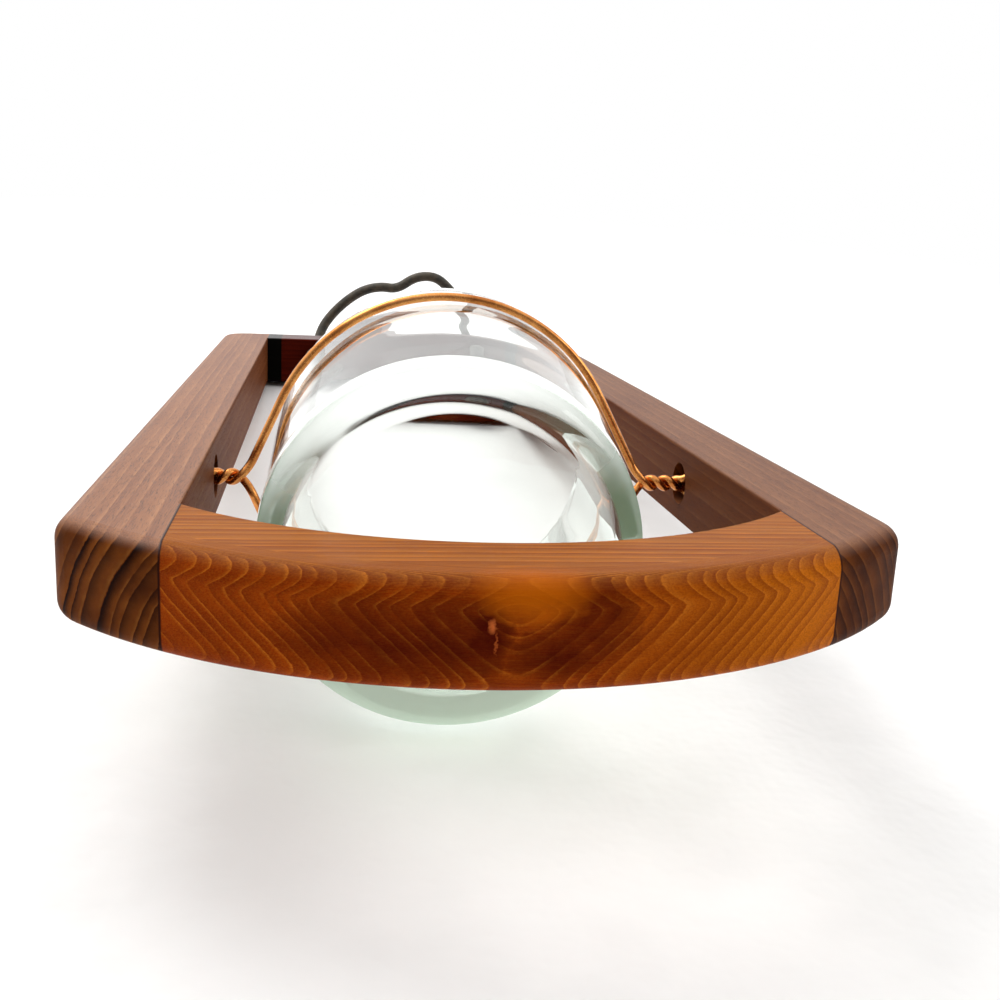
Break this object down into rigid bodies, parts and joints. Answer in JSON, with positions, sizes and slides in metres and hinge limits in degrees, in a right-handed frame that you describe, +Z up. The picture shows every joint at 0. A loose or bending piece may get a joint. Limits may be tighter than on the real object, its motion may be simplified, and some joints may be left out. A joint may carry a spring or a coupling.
{
  "type": "hanging propagation vase",
  "caption": "Clear thick-based glass tumbler held by a twisted copper wire hoop in a long wooden frame with a bowed foot bar, hung by a leather lace loop.",
  "frame": {"origin": "on the table under the middle of the frame, as it lies with the hoop's lower wire and the head's lower edge on the table", "axes": "+Z up, +Y level, from the frame's foot to its head, +X to the right as seen from the foot"},
  "size_m": [0.1558, 0.3968, 0.0894],
  "materials": {
    "rail_wood": "oiled walnut, fine grain",
    "foot_wood": "oiled orange-red wood, straight grain",
    "head_wood": "oiled dark red-brown wood",
    "spacer_wood": "black wood, oiled",
    "dowel_wood": "plain pale wood",
    "copper": "bright copper wire",
    "glass": "clear, slightly green where it is thick",
    "leather": "dark, waxed"
  },
  "bodies": {
    "frame": {"left_rail": "rail_wood", "right_rail": "rail_wood", "foot_bar": "foot_wood", "head_bar": "head_wood", "left_spacer": "spacer_wood", "right_spacer": "spacer_wood", "left_foot_dowel": "dowel_wood", "right_foot_dowel": "dowel_wood", "left_head_dowel": "dowel_wood", "right_head_dowel": "dowel_wood", "lace": "leather", "left_lace_stopper": "leather", "right_lace_stopper": "leather"},
    "hoop": {"upper_hoop_wire": "copper", "lower_hoop_wire": "copper"},
    "glass": {"glass_vessel": "glass"}
  },
  "joints": [
    {"name": "hoop_turn", "type": "hinge", "parent": "frame", "child": "hoop", "pos_m": [0, -0.07325, 0.0447], "axis": [1, 0, 0], "continuous": true},
    {"name": "glass_lift", "type": "slide", "parent": "hoop", "child": "glass", "axis": [0.0541, 0.9985, 0], "range_m": [0, 0.045]}
  ]
}
